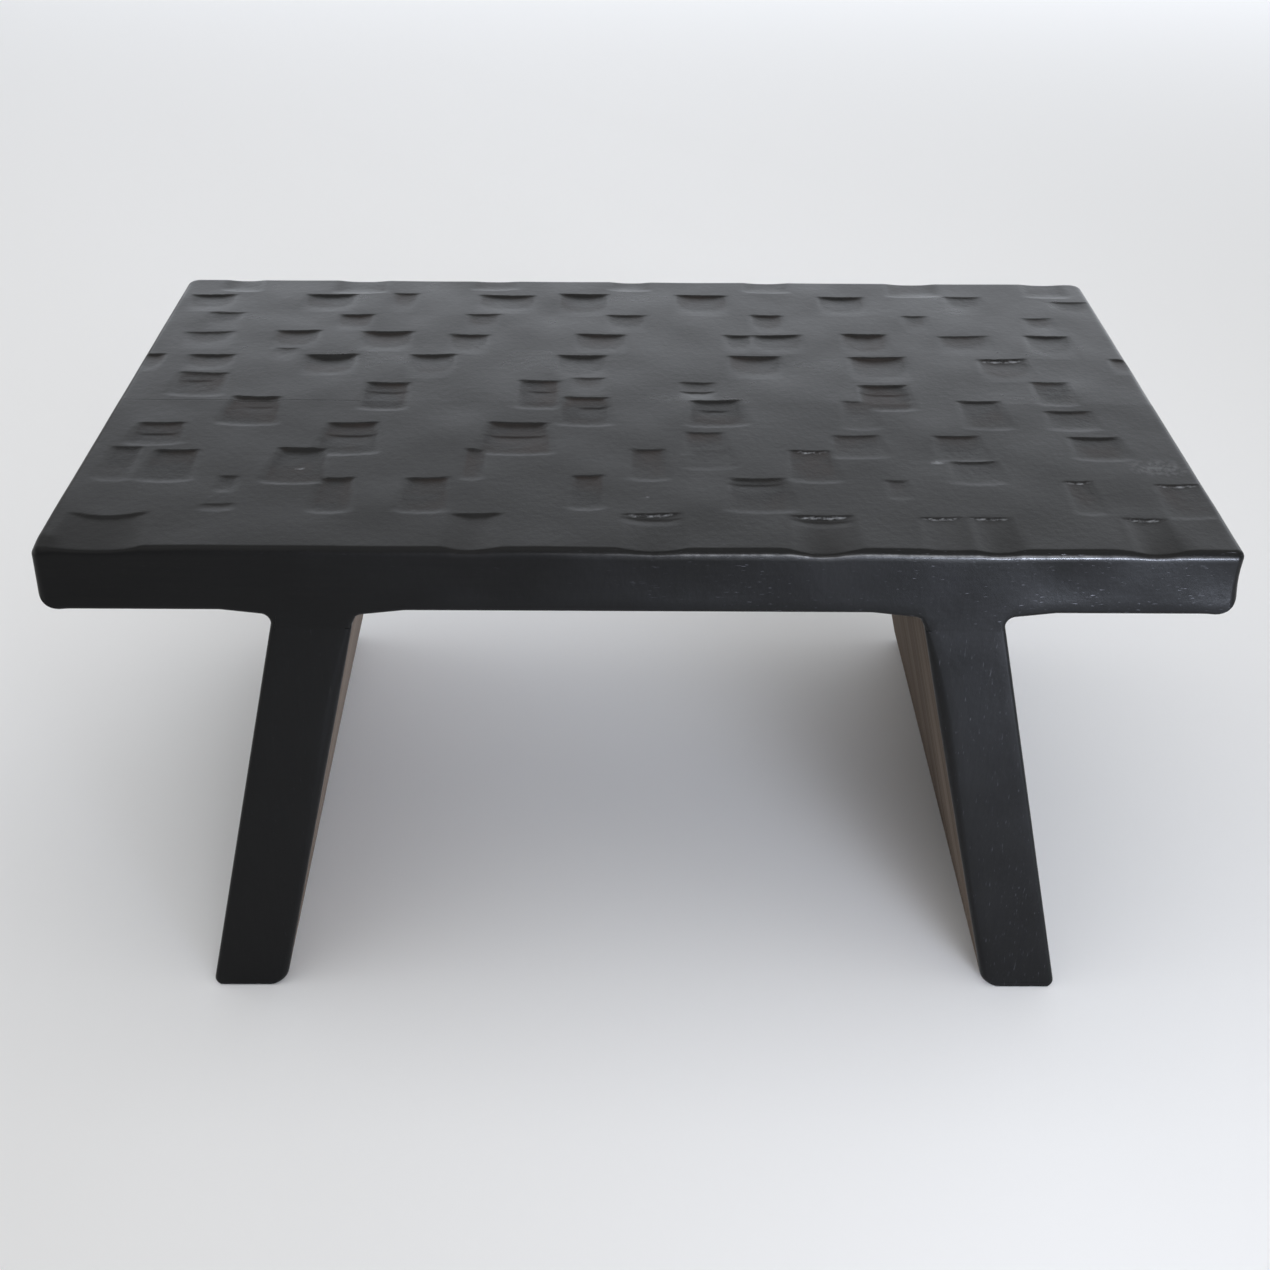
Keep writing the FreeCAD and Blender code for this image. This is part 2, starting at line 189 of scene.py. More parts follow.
BITES_OVER_FRONT_EDGE = [
    (452, 502, 513, 590, 1.2), (622, 682, 513, 590, 1.1), (791, 853, 515, 590, 1.2),
    (918, 964, 517, 590, 0.7), (968, 1010, 517, 590, 0.7), (1123, 1165, 518, 590, 0.9),
]
# the scoop at the front left corner, which deepens towards the front edge
SCOOP_AT_CORNER = [(68, 150, 513, 590, 0.9)]
# second strokes, in the floor of a bite
SECOND_STROKES = [
    (182, 215, 379, 390, 0.5), (365, 410, 390, 401, 0.5), (246, 275, 405, 413, 0.4),
    (527, 557, 390, 400, 0.5), (578, 608, 406, 418, 0.6), (680, 715, 391, 401, 0.6),
    (697, 730, 409, 420, 0.6), (860, 908, 393, 404, 0.5), (137, 180, 432, 443, 0.6),
    (327, 378, 433, 446, 0.7), (488, 548, 434, 448, 0.7), (728, 783, 483, 492, 0.5),
    (620, 684, 517, 525, 0.4), (790, 855, 519, 527, 0.4),
]
# The groups of bites and the shape that each group's cuts share. Deeper: a factor on the depths. Near: depth
# at the near lip as a share of the depth at the wall. Curve: how far the wall's foot runs out, in mm.
# Widening: of the floor towards the lip, as a share. Sides: how squarely the floor meets its sides. Torn: how
# brown and dull the floor is. Lip: its slope. Sag: how far the wall's middle bows towards the lip, in mm.
CutShape = namedtuple("CutShape", "deeper near curve widening sides torn lip sag", defaults=(0.1, 1.2))
ADZE_BITES = [
    (BITES_OVER_BACK_EDGE, CutShape(deeper=1.7, near=0.4, curve=5.0, widening=0.2, sides=2.5, torn=0.5)),
    (BITES_BACK_BOARD, CutShape(deeper=1.1, near=0.0, curve=4.5, widening=0.2, sides=2.5, torn=0.8)),
    (BITES_AT_SEAM, CutShape(deeper=1.0, near=0.3, curve=3.0, widening=0.3, sides=4.0, torn=1.3)),
    (BITES_FRONT_BOARD, CutShape(deeper=0.75, near=0.3, curve=2.4, widening=0.5, sides=5.0, torn=1.0)),
    (BITES_FRONT_RIGHT, CutShape(deeper=0.9, near=0.3, curve=1.2, widening=0.3, sides=4.0, torn=0.8)),
    (BITES_OVER_FRONT_EDGE, CutShape(
        deeper=1.0, near=0.4, curve=1.6, widening=0.3, sides=2.5, torn=0.1, lip=0.5)),
    (SCOOP_AT_CORNER, CutShape(
        deeper=1.0, near=3.4, curve=1.0, widening=0.3, sides=2.5, torn=0.0, lip=0.5, sag=6.0)),
]
SECOND_STROKE = CutShape(deeper=1.0, near=0.0, curve=1.6, widening=0.1, sides=3.0, torn=0.0)

# Far wall of every bite: its upper part's share of the depth and its run in mm, how much less its foot runs
# out at the sides, its slant and what turns that from bite to bite, and its rags in radians per mm and mm
WALL_SHARE = 0.4
WALL_RUN = 0.7
WALL_LENS = 0.7
WALL_SLANT = 0.05
WALL_SLANT_TURN = 1.7
WALL_RAGS = [(0.9, 0.35), (1.4, 0.25)]
# the near lip's crease is rounded by this, in mm
LIP_SOFTNESS = 0.4
# the floor's rise towards the lip: above 1 it slows down
FLOOR_RISE = 1.6
# depths, in mm, over which the floor of a bite starts to look torn
TORN_FROM = (0.15, 0.5)
# how crisply a bite cuts through the rounded rim: the higher, the crisper
RIM_CUT_POWER = 2.5

# Scallops in the front edge: left and right end in pixels on the edge's row, depth in mm, how far back they
# run, in mm, and how they rise over that run: above 1 it slows down
EDGE_SCALLOPS = [
    (438, 492, 0.7), (612, 694, 1.0), (778, 866, 2.0), (966, 1034, 1.2), (1112, 1200, 1.5),
]
FRONT_EDGE_ROW = 548
SCALLOP_RUN = 42.0
SCALLOP_RISE = 1.2
# Slow waves left in the top by the first rough cuts: length along x and y in mm, turn, height in mm
SLOW_WAVES = [(148.0, 92.0, 0.4, 0.12), (87.0, 61.0, 2.1, 0.08), (56.0, 118.0, 4.0, 0.06)]
# the front left corner of the top is worn down, in mm
WORN_CORNER_FALL = 1.7
WORN_CORNER_REACH = 17.0

# A pale line is painted along the wall of these bites, named by their left end, as a painted glint of the
# light on the wall.
# The painted glint comes and goes over these rows of the picture below the wall, and fades towards its ends,
# as a share of half the wall.
GLINTING_WALLS = {977, 790, 1064, 1154, 622, 791, 918, 968, 1123}
GLINT_LINE_COMES = (0.5, 1.0)
GLINT_LINE_GOES = (1.5, 2.2)
GLINT_LINE_FADES = (0.55, 0.95)
# Old wax has whitened in spots as well: pixel, half width and half depth in mm, how white, and where they
# fade, as a share of that half width and depth
WAX_SPOTS = [
    (1160, 468, 22.0, 14.0, 0.25), (938, 462, 5.0, 3.0, 0.6), (300, 467, 3.0, 1.6, 1.0),
    (645, 497, 2.0, 1.4, 1.0),
]
WAX_SPOT_FADES = (0.3, 1.0)

# The long arrises are polished by wear, in mm: the band inside the edge, where along the seat the polish
# comes, where it loses most of its shine, how much, and where it ends
POLISH_BAND = (0.5, 1.2)
POLISH_COMES = (-70.0, 60.0)
POLISH_FADES = (190.0, 260.0)
POLISH_LOSS = 0.8
POLISH_ENDS = (282.0, 297.0)
# the faded stain of the top comes in over this stretch inside the edge, in mm
FADED_FROM = (1.0, 5.0)

# Colours of the wood and its finish; a pair is the dark and the pale end of its streaks
STAIN = ("#050506", "#0b0b0a")
FADED_STAIN = ("#141415", "#1e1e1d")
TORN_WOOD = "#282321"
# pale wax in the pores, which is also a painted sheen where it grows towards the lit right end
PALE_PORES_AND_SHEEN = "#505053"
# the pale colour of the painted glints on bite walls, and of the whitened wax spots
GLINT_AND_WAX_SPOT_WHITE = "#84868a"
BARE_LEG = ("#483e35", "#7b6e62")
BARE_INSIDE = ("#6e5a48", "#a08870")

# Sizes of the wood's patterns, in mm along x, y and z. Real pores and streaks are a few tenths of a
# millimetre wide, too fine to show, so they are drawn two to five times as coarse.
SEAT_STREAKS = (45.0, 1.6, 1.6)
SEAT_PORES = (4.5, 0.6, 0.6)
LEG_STREAKS = (1.6, 1.6, 45.0)
LEG_PORES = (0.7, 0.7, 5.0)
INSIDE_STREAKS = (40.0, 2.0, 2.0)
MOTTLE = (4.0, 5.0, 5.0)
BLOTCHES = 38.0
# hardly any change with x, so that the bands run straight up the leaning face
BARE_BANDS = (900.0, 7.0, 320.0)

# Pale wax in the pores grows over this stretch of the seat, in metres, from this least amount, as a painted
# sheen towards the lit right end, and this share of it is lost on the top
PORE_WAX_AND_SHEEN_SPAN = (-0.05, 0.2)
LEAST_PORE_WAX_AND_SHEEN = 0.05
PORE_WAX_AND_SHEEN_LOSS_ON_TOP = 0.85
# Finish of the blackened wood: its film of stain and wax reflects less than clear lacquer does, and wear
# polishes it
FILM_IOR = 1.25
POLISH_IOR = 1.5
POLISH_ROUGHNESS = 0.2
SATIN_SWING = 0.045
TORN_DULLNESS = 0.13
# relief of its surface: height in mm, and the shares of streaks, torn floors and saw marks in it
RELIEF_MM = 0.13
STREAK_RELIEF = 0.15
TORN_RELIEF = 1.2
SAW_MARK_RELIEF = 6.0

# Sockets of a Mix node that mixes colours, which share their names with others
COLOUR_A = 6
COLOUR_B = 7
COLOUR_OUT = 2

# Studio: half the floor's width in metres, how bright the room is, and the beam of an open lamp in degrees
FLOOR_HALF = 8.0
ROOM_GLOW = 0.5
OPEN_BEAM = 180.0


def photo_camera_matrix():
    """The camera's place and turn in the shared frame, in mm."""
    turn = (
        Matrix.Rotation(math.radians(CAMERA_YAW), 4, "Z")
        @ Matrix.Rotation(math.radians(90.0 - CAMERA_PITCH), 4, "X")
        @ Matrix.Rotation(math.radians(CAMERA_ROLL), 4, "Z")
    )
    return Matrix.Translation(CAMERA_PLACE) @ turn


def on_seat_top(x_pixel, y_pixel):
    """Where the line of sight through a pixel meets the level of the seat's top, in mm."""
    middle = PHOTO_PIXELS / 2
    sight = Vector(((x_pixel - middle) / FOCAL_PIXELS, (middle - y_pixel) / FOCAL_PIXELS, -1.0))
    sight = photo_camera_matrix().to_3x3() @ sight
    return CAMERA_PLACE + sight * ((SEAT_TOP - CAMERA_PLACE.z) / sight.z)


def ease(low, high, value):
    """A smooth step from 0 at low to 1 at high."""
    share = np.clip((value - low) / (high - low), 0.0, 1.0)
    return share * share * (3.0 - 2.0 * share)


def soft_least(first, second, softness):
    """The lesser of two surfaces, with the crease between them rounded."""
    share = np.clip(0.5 + 0.5 * (second - first) / softness, 0.0, 1.0)
    return second + (first - second) * share - softness * share * (1.0 - share)


def adze_bites():
    """Every bite with the shape of its cut."""
    for bites, shape in ADZE_BITES:
        for bite in bites:
            yield Bite(*bite), shape


def bite_places(x, y, bite, sag):
    """How far each point lies on the near side of a bite's wall, its share across, and the bite's length."""
    left = on_seat_top(bite.left, bite.wall)
    right = on_seat_top(bite.right, bite.wall)
    middle = (left + right) / 2
    length = middle.y - on_seat_top((bite.left + bite.right) / 2, bite.lip).y
    half_width = (right.x - left.x) / 2
    share = (x - middle.x) / half_width
    wall_y = middle.y + sag * (share ** 2 - 0.5)
    # no two strokes fall alike: each wall slants and is ragged in its own way
    wall_y = wall_y + WALL_SLANT * math.sin(bite.left * WALL_SLANT_TURN) * (x - middle.x)
    for radians_per_mm, height in WALL_RAGS:
        wall_y = wall_y + height * np.sin(x * radians_per_mm + bite.left)
    return wall_y - y, np.abs(share), length


def bite_depth(x, y, bite, shape):
    """How deep one adze bite cuts at each point: a steep far wall that curves into the floor, a near lip."""
    nearer, across, length = bite_places(x, y, bite, shape.sag)
    nearer = np.maximum(nearer, 0.0)
    along = np.clip(nearer / length, 0.0, 1.0)
    across = np.minimum(across / (1.0 + shape.widening * along), 1.0)
    wall = 1.0 - np.exp(-nearer / WALL_RUN)
    # the wall's foot runs out farthest in the middle, so that it shows as a lens
    curve = 1.0 - np.exp(-nearer / (shape.curve * (1.0 - WALL_LENS * across ** 2)))
    fall = WALL_SHARE * wall + (1.0 - WALL_SHARE) * curve
    rise = shape.near + (1.0 - shape.near) * (1.0 - along) ** FLOOR_RISE
    cut = bite.depth * shape.deeper * fall * rise * (1.0 - across ** shape.sides)
    lip = np.maximum(shape.lip * (length - nearer), 0.0)
    return np.maximum(soft_least(cut, lip, LIP_SOFTNESS), 0.0)


def adze_depth(x, y):
    """How far all the bites together cut into the top at each point, in mm, and how torn it is there."""
    depth = np.zeros_like(x)
    torn = np.zeros_like(x)
    for bite, shape in adze_bites():
        cut = bite_depth(x, y, bite, shape)
        torn = np.where(cut > depth, shape.torn * ease(*TORN_FROM, cut), torn)
        depth = np.maximum(depth, cut)
    for stroke in SECOND_STROKES:
        depth += bite_depth(x, y, Bite(*stroke), SECOND_STROKE)
    return depth, torn


def scallop_depth(x, y):
    """How far the scallops in the front edge fall at each point, in mm."""
    depth = np.zeros_like(x)
    for left_pixel, right_pixel, most in EDGE_SCALLOPS:
        left = on_seat_top(left_pixel, FRONT_EDGE_ROW).x
        right = on_seat_top(right_pixel, FRONT_EDGE_ROW).x
        across = np.abs(2.0 * x - left - right) / (right - left)
        towards_edge = np.clip(1.0 - (y - SEAT_FRONT) / SCALLOP_RUN, 0.0, 1.0)
        fall = most * (1.0 - ease(0.0, 1.0, across)) * towards_edge ** SCALLOP_RISE
        depth = np.maximum(depth, fall)
    return depth


def slow_waves(x, y):
    """The gentle unevenness of the whole top, never above its level, in mm."""
    fall = np.zeros_like(x)
    for wave_x, wave_y, turn, height in SLOW_WAVES:
        wave = np.sin(x * math.tau / wave_x + turn) * np.cos(y * math.tau / wave_y + turn)
        fall += height * (1.0 + wave)
    return fall


def painted_glints_and_wax_spots(x, y):
    """Where a painted glint lies along some bite walls on the top, and where old wax has whitened in spots,
    from 0 to 1.
    """
    white = np.zeros_like(x)
    # a pale line painted along these bite walls stands in for the glint of light on them
    for bite, shape in adze_bites():
        if bite.left in GLINTING_WALLS:
            nearer, across, length = bite_places(x, y, bite, shape.sag)
            picture_rows = nearer / length * (bite.lip - bite.wall)
            line = ease(*GLINT_LINE_COMES, picture_rows) * (1.0 - ease(*GLINT_LINE_GOES, picture_rows))
            white = np.maximum(white, line * (1.0 - ease(*GLINT_LINE_FADES, across)))
    for x_pixel, y_pixel, half_width, half_depth, most in WAX_SPOTS:
        middle = on_seat_top(x_pixel, y_pixel)
        away = np.hypot((x - middle.x) / half_width, (y - middle.y) / half_depth)
        white = np.maximum(white, most * (1.0 - ease(*WAX_SPOT_FADES, away)))
    return white


def arris_polish(x, inside):
    """Where wear has polished the seat's long arrises, from 0 to 1."""
    band = 1.0 - ease(*POLISH_BAND, inside)
    along = ease(*POLISH_COMES, x) * (1.0 - POLISH_LOSS * ease(*POLISH_FADES, x))
    return band * along * (1.0 - ease(*POLISH_ENDS, x))


def rim_fall(inside, radius):
    """How far a rounded rim falls below the flat at a distance inside the edge."""
    short = radius - np.clip(inside, 0.0, radius)
    return radius - np.sqrt(radius * radius - short * short)


def grid_lines(low, high, low_round, high_round, step, kept=()):
    """Where a grid's lines run: close on the rounded rims, evenly in between, and through kept places."""
    turns = [math.radians(90.0 * line / RIM_LINES) for line in range(RIM_LINES)]
    low_rim = [low + low_round * (1.0 - math.cos(turn)) for turn in turns]
    high_rim = [high - high_round * (1.0 - math.cos(turn)) for turn in reversed(turns)]
    count = round((high - high_round - low - low_round) / step)
    between = np.linspace(low + low_round, high - high_round, count + 1)
    lines = np.array(low_rim + list(between) + high_rim)
    for place in kept:
        lines[np.abs(lines - place).argmin()] = place
    return lines


def cove(before, corner, after, radius, steps=COVE_STEPS):
    """Points of the arc that rounds one corner of a line."""
    first = (Vector(before) - Vector(corner)).normalized()
    last = (Vector(after) - Vector(corner)).normalized()
    half = first.angle(last) / 2
    centre = Vector(corner) + (first + last).normalized() * (radius / math.sin(half))
    start = Vector(corner) + first * (radius / math.tan(half)) - centre
    end = Vector(corner) + last * (radius / math.tan(half)) - centre
    shares = [step / steps for step in range(steps + 1)]
    return [tuple(centre + (start * (1 - s) + end * s).normalized() * radius) for s in shares]


def underside_line():
    """Half of the seat's lower outline, from its middle past the coved boss to its end, in mm."""
    inner_slope_x = LEG_INNER_FOOT - LEG_LEAN * BOSS_SLOPE_FOOT
    outer_slope_x = LEG_OUTER_FOOT - LEG_LEAN * BOSS_SLOPE_FOOT
    inner_start = (inner_slope_x - BOSS_SLOPE_RUN, UNDERSIDE)
    inner_corner = (inner_slope_x, BOSS_SLOPE_FOOT)
    inner_shoulder = (LEG_INNER_FOOT - LEG_LEAN * SHOULDER, SHOULDER)
    outer_shoulder = (LEG_OUTER_FOOT - LEG_LEAN * SHOULDER, SHOULDER)
    outer_corner = (outer_slope_x, BOSS_SLOPE_FOOT)
    outer_start = (outer_slope_x + BOSS_SLOPE_RUN, UNDERSIDE)
    line = [(0.0, UNDERSIDE), inner_start]
    line += cove(inner_start, inner_corner, inner_shoulder, COVE_RADIUS)
    line += [inner_shoulder, outer_shoulder]
    line += cove(outer_shoulder, outer_corner, outer_start, COVE_RADIUS)
    line.append(outer_start)
    line += cove(outer_start, (SEAT_END, UNDERSIDE), (SEAT_END, SEAT_TOP), END_ROUND, END_STEPS)
    return np.array(line)


def along_underside(x):
    """The lower outline's point and inward direction for each x of the grid."""
    line = underside_line()
    lengths = np.concatenate([[0.0], np.cumsum(np.hypot(*np.diff(line, axis=0).T))])
    places = line[:, 0].copy()
    # the leaning boss draws the grid's lines in with it, so that none of them cross
    places[INNER_COVE_END:OUTER_COVE_START + 1] = BOSS_GRID_PLACES
    outer_cove_end = OUTER_COVE_START + COVE_STEPS
    outer_cove = np.linspace(BOSS_GRID_PLACES[-1], line[outer_cove_end, 0], COVE_STEPS + 1)
    places[OUTER_COVE_START:outer_cove_end + 1] = outer_cove
    reach = np.interp(np.abs(x), places, lengths)
    side = np.where(x < 0.0, -1.0, 1.0)
    place_x = np.interp(reach, lengths, line[:, 0])
    place_z = np.interp(reach, lengths, line[:, 1])
    # at a shoulder the direction is that of the boss's side
    at_outer = np.isclose(np.abs(x), OUTER_SHOULDER)
    at_inner = np.isclose(np.abs(x), INNER_SHOULDER)
    middle = reach + DIRECTION_REACH * np.select([at_outer, at_inner], [1.0, -1.0])
    behind = middle - DIRECTION_REACH
    ahead = middle + DIRECTION_REACH
    ahead_x = np.interp(ahead, lengths, line[:, 0]) - np.interp(behind, lengths, line[:, 0])
    ahead_z = np.interp(ahead, lengths, line[:, 1]) - np.interp(behind, lengths, line[:, 1])
    size = np.maximum(np.hypot(ahead_x, ahead_z), TINY)
    return side * place_x, place_z, side * -ahead_z / size, ahead_x / size


def linked(name, data):
    """A new object at the origin, in the scene."""
    made = bpy.data.objects.new(name, data)
    bpy.context.scene.collection.objects.link(made)
    return made


def mesh_from(bm, name):
    """Makes a finished bmesh a mesh."""
    mesh = bpy.data.meshes.new(name)
    bm.to_mesh(mesh)
    bm.free()
    return mesh


def draw_levels(bm, rim, level, count):
    """Draws a closed rim out level by level, notes each vertex's level, and gives the last rim."""
    for step in range(1, count + 1):
        drawn = bmesh.ops.extrude_edge_only(bm, edges=rim)["geom"]
        for vert in [item for item in drawn if isinstance(item, bmesh.types.BMVert)]:
            vert[level] = step
        rim = [item for item in drawn if isinstance(item, bmesh.types.BMEdge) and item.is_boundary]
    return rim


def read_layers(mesh, names):
    """Takes the whole numbers that were noted at each vertex out of a mesh."""
    values = {name: np.zeros(len(mesh.vertices), np.int32) for name in names}
    for name in names:
        mesh.attributes[name].data.foreach_get("value", values[name])
        mesh.attributes.remove(mesh.attributes[name])
    return values


def write_attribute(mesh, name, values):
    """Stores one number per vertex for a material to read."""
    layer = mesh.attributes.new(name, "FLOAT", "POINT")
    layer.data.foreach_set("value", values.astype(np.float32))


def place_vertices(mesh, x, y, z):
    """Puts a mesh's vertices at places in mm."""
    places = np.stack([x, y, z], axis=1) * MM
    mesh.vertices.foreach_set("co", places.astype(np.float32).ravel())


def finish_mesh(mesh, sharp_degrees):
    """Turns the faces outwards and shades them smooth, except across real corners."""
    bm = bmesh.new()
    bm.from_mesh(mesh)
    bmesh.ops.recalc_face_normals(bm, faces=bm.faces)
    bm.to_mesh(mesh)
    bm.free()
    mesh.shade_smooth()
    mesh.set_sharp_from_angle(angle=math.radians(sharp_degrees))


def seat_shell(name, columns, rows):
    """A seat board before it is shaped: a grid for the top, its rim drawn down, the underside bridged."""
    bm = bmesh.new()
    column = bm.verts.layers.int.new("column")
    row = bm.verts.layers.int.new("row")
    level = bm.verts.layers.int.new("level")
    bmesh.ops.create_grid(bm, x_segments=columns, y_segments=rows, size=1.0)
    for vert in bm.verts:
        vert[column] = round((vert.co.x + 1.0) / 2.0 * columns)
        vert[row] = round((vert.co.y + 1.0) / 2.0 * rows)
    rim = draw_levels(bm, [edge for edge in bm.edges if edge.is_boundary], level, SIDE_LEVELS)
    long_rows = [edge for edge in rim if len({vert[row] for vert in edge.verts}) == 1]
    long_rows = [edge for edge in long_rows if edge.verts[0][row] in (0, rows)]
    bmesh.ops.bridge_loops(bm, edges=long_rows)
    bmesh.ops.holes_fill(bm, edges=[edge for edge in bm.edges if edge.is_boundary], sides=0)
    return mesh_from(bm, name)


def rounded_in_plan(x, y, corner_x, corner_y, corner, out_y):
    """Places on a seat board's grid, with the outline's two outer corners rounded."""
    past_x = np.clip((np.abs(x) - corner_x) / corner, 0.0, 1.0)
    past_y = np.clip((y * out_y - corner_y) / corner, 0.0, 1.0)
    in_corner = (past_x > 0.0) & (past_y > 0.0)
    round_x = corner_x + corner * past_x * np.sqrt(1.0 - past_y * past_y / 2.0)
    round_y = corner_y + corner * past_y * np.sqrt(1.0 - past_x * past_x / 2.0)
    return np.where(in_corner, np.sign(x) * round_x, x), np.where(in_corner, out_y * round_y, y)


def top_height(x, y, inside, cut):
    """The seat's top at each point, in mm: rounded rim, cuts, slow waves, worn corner and glue seam."""
    # a bite over the edge cuts the rounded rim away, so mostly the deeper of the two counts
    rim = rim_fall(inside, TOP_ROUND)
    both = (cut ** RIM_CUT_POWER + rim ** RIM_CUT_POWER) ** (1.0 / RIM_CUT_POWER)
    z = SEAT_TOP - both - slow_waves(x, y)
    from_corner = np.hypot(x + SEAT_END, y - SEAT_FRONT)
    z -= WORN_CORNER_FALL * (1.0 - ease(0.0, WORN_CORNER_REACH, from_corner))
    seam_round = SEAM_ROUND * (1.0 - ease(*OPEN_SEAM, x)) + CLOSED_SEAM_ROUND
    return z - rim_fall(np.abs(y - SEAT_SEAM), seam_round)


def lower_rounding(x, facing):
    """Radius of the seat's lower long edges at each x, in mm: none over a leg, little at the ends."""
    over_leg = (np.abs(x) > INNER_SHOULDER + SAME_PLACE) & (np.abs(x) < OUTER_SHOULDER - SAME_PLACE)
    radius = LOWER_ROUND * ease(*LOWER_ROUND_FACING, facing) * ~over_leg
    return radius * (1.0 - LOWER_ROUND_LOSS * ease(*LOWER_ROUND_FADES, np.abs(x)))


def side_hollow(x, y):
    """Depth of the plane's hollows in the seat's sides at each point, in mm: none beside the legs."""
    wave_x, wave_y, sway = HOLLOW_WAVES
    hollow = FACE_HOLLOW * (1.0 + np.sin(x / wave_x + y / wave_y + np.sin(x / sway)))
    return hollow * (1.0 - ease(*HOLLOW_ENDS, np.abs(x)) * (1.0 - ease(*HOLLOW_STARTS, np.abs(x))))


def seat_board(name, low_y, high_y, outer_edge, corner):
    """One board of the seat: adzed top, rounded rim, hollowed sides, and coved bosses below."""
    low_round = TOP_ROUND if outer_edge == low_y else SEAM_ROUND
    high_round = TOP_ROUND if outer_edge == high_y else SEAM_ROUND
    shoulders = [sign * place for sign in (-1.0, 1.0) for place in (INNER_SHOULDER, OUTER_SHOULDER)]
    lines_x = grid_lines(-SEAT_END, SEAT_END, TOP_ROUND, TOP_ROUND, GRID_STEP_X, shoulders)
    lines_y = grid_lines(low_y, high_y, low_round, high_round, GRID_STEP_Y)
    mesh = seat_shell(name, len(lines_x) - 1, len(lines_y) - 1)
    at = read_layers(mesh, ("column", "row", "level"))
    level = at["level"]

    # the top, and how far inside the rounded outline each of its points lies
    corner_x = SEAT_END - corner
    corner_y = abs(outer_edge) - corner
    out_y = 1.0 if outer_edge > SEAT_SEAM else -1.0
    top_x, top_y = rounded_in_plan(
        lines_x[at["column"]], lines_y[at["row"]], corner_x, corner_y, corner, out_y)
    over_x = np.abs(top_x) - corner_x
    over_y = top_y * out_y - corner_y
    over = np.hypot(np.maximum(over_x, 0.0), np.maximum(over_y, 0.0))
    inside = corner - over - np.minimum(np.maximum(over_x, over_y), 0.0)
    cut, torn = adze_depth(top_x, top_y)
    top_z = top_height(top_x, top_y, inside, cut + scallop_depth(top_x, top_y))

    # the sides: from the rim down to the rounded lower edge, which follows the coved bosses
    normal_x = np.sign(top_x) * np.maximum(over_x, 0.0) / np.maximum(over, TINY)
    normal_y = out_y * np.maximum(over_y, 0.0) / np.maximum(over, TINY)
    at_seam = np.abs(top_y - SEAT_SEAM) < TINY
    low_x, low_z, in_x, in_z = along_underside(top_x)
    radius = lower_rounding(top_x, np.abs(normal_y)) * ~at_seam
    rounded_down = np.array(FACE_SHARES + [1.0] * ROUND_LEVELS)
    plain_down = np.array(FACE_SHARES + list(np.linspace(SQUEEZED_FROM, 1.0, ROUND_LEVELS)))
    down = np.where(radius > 0.0, rounded_down[level], plain_down[level])
    turn = np.radians(90.0) * np.clip((level - len(FACE_SHARES)) / (ROUND_LEVELS - 1), 0.0, 1.0)
    rise = radius * (1.0 - np.sin(turn))
    inwards = side_hollow(top_x, top_y) * ~at_seam * np.sin(down * math.pi)
    x = top_x + (low_x + in_x * rise - top_x) * down - normal_x * inwards
    y = top_y - normal_y * inwards - out_y * radius * (1.0 - np.cos(turn))
    z = top_z + (low_z + in_z * rise - top_z) * down
    place_vertices(mesh, x, y, z)

    on_top = level == 0
    write_attribute(mesh, "bite", torn * on_top)
    write_attribute(mesh, "worn", arris_polish(top_x, inside) * np.abs(normal_y) * on_top)
    # painted glints along some bite walls, and whitened wax spots
    write_attribute(mesh, "glints_and_wax_spots", painted_glints_and_wax_spots(top_x, top_y) * on_top)
    write_attribute(mesh, "top", ease(*FADED_FROM, inside) * on_top)
    finish_mesh(mesh, SEAT_SHARP)
    return linked(name, mesh)


def leg_face(foot_x, inwards, foot_round, z):
    """x of a leg's inner or outer face at each height: straight and leaning, rounded into the sole."""
    corner = math.radians(90.0 + inwards * LEG_LEAN_DEGREES)
    tangent = foot_round / math.tan(corner / 2)
    arc = foot_x + inwards * (tangent - np.sqrt(np.maximum(foot_round ** 2 - (foot_round - z) ** 2, 0.0)))
    straight = foot_x - LEG_LEAN * z
    return np.where(z < tangent * math.cos(math.radians(LEG_LEAN_DEGREES)), arc, straight)


def leg_outline(inner_round, width):
    """A leg board's level outline: share from the inner face, offset across, distance from its edge."""
    turns = np.radians(np.linspace(0.0, 90.0, LEG_ARRIS_STEPS + 1))
    along = np.linspace(0.0, 1.0, LEG_FACE_STEPS + 1)
    across = np.linspace(0.0, 1.0, LEG_ACROSS_STEPS + 1)
    band = inner_round + STAINED_BAND
    inner_face = [(0.0, 0.0, width + (band - width) * share) for share in along]
    inner_arris = [(0.0, inner_round * (1 - math.cos(t)), inner_round * (1 - math.sin(t))) for t in turns]
    edge = [(share, inner_round * (1 - share) - OUTER_ARRIS * share, 0.0) for share in across[1:-1]]
    outer_arris = [(1.0, -OUTER_ARRIS * (1 - math.sin(t)), OUTER_ARRIS * (1 - math.cos(t))) for t in turns]
    outer_face = [(1.0, 0.0, OUTER_ARRIS + (width - OUTER_ARRIS) * share) for share in along[1:]]
    seam = [(1.0 - share, 0.0, width) for share in across[1:-1]]
    return np.array(inner_face + inner_arris + edge + outer_arris + outer_face + seam)


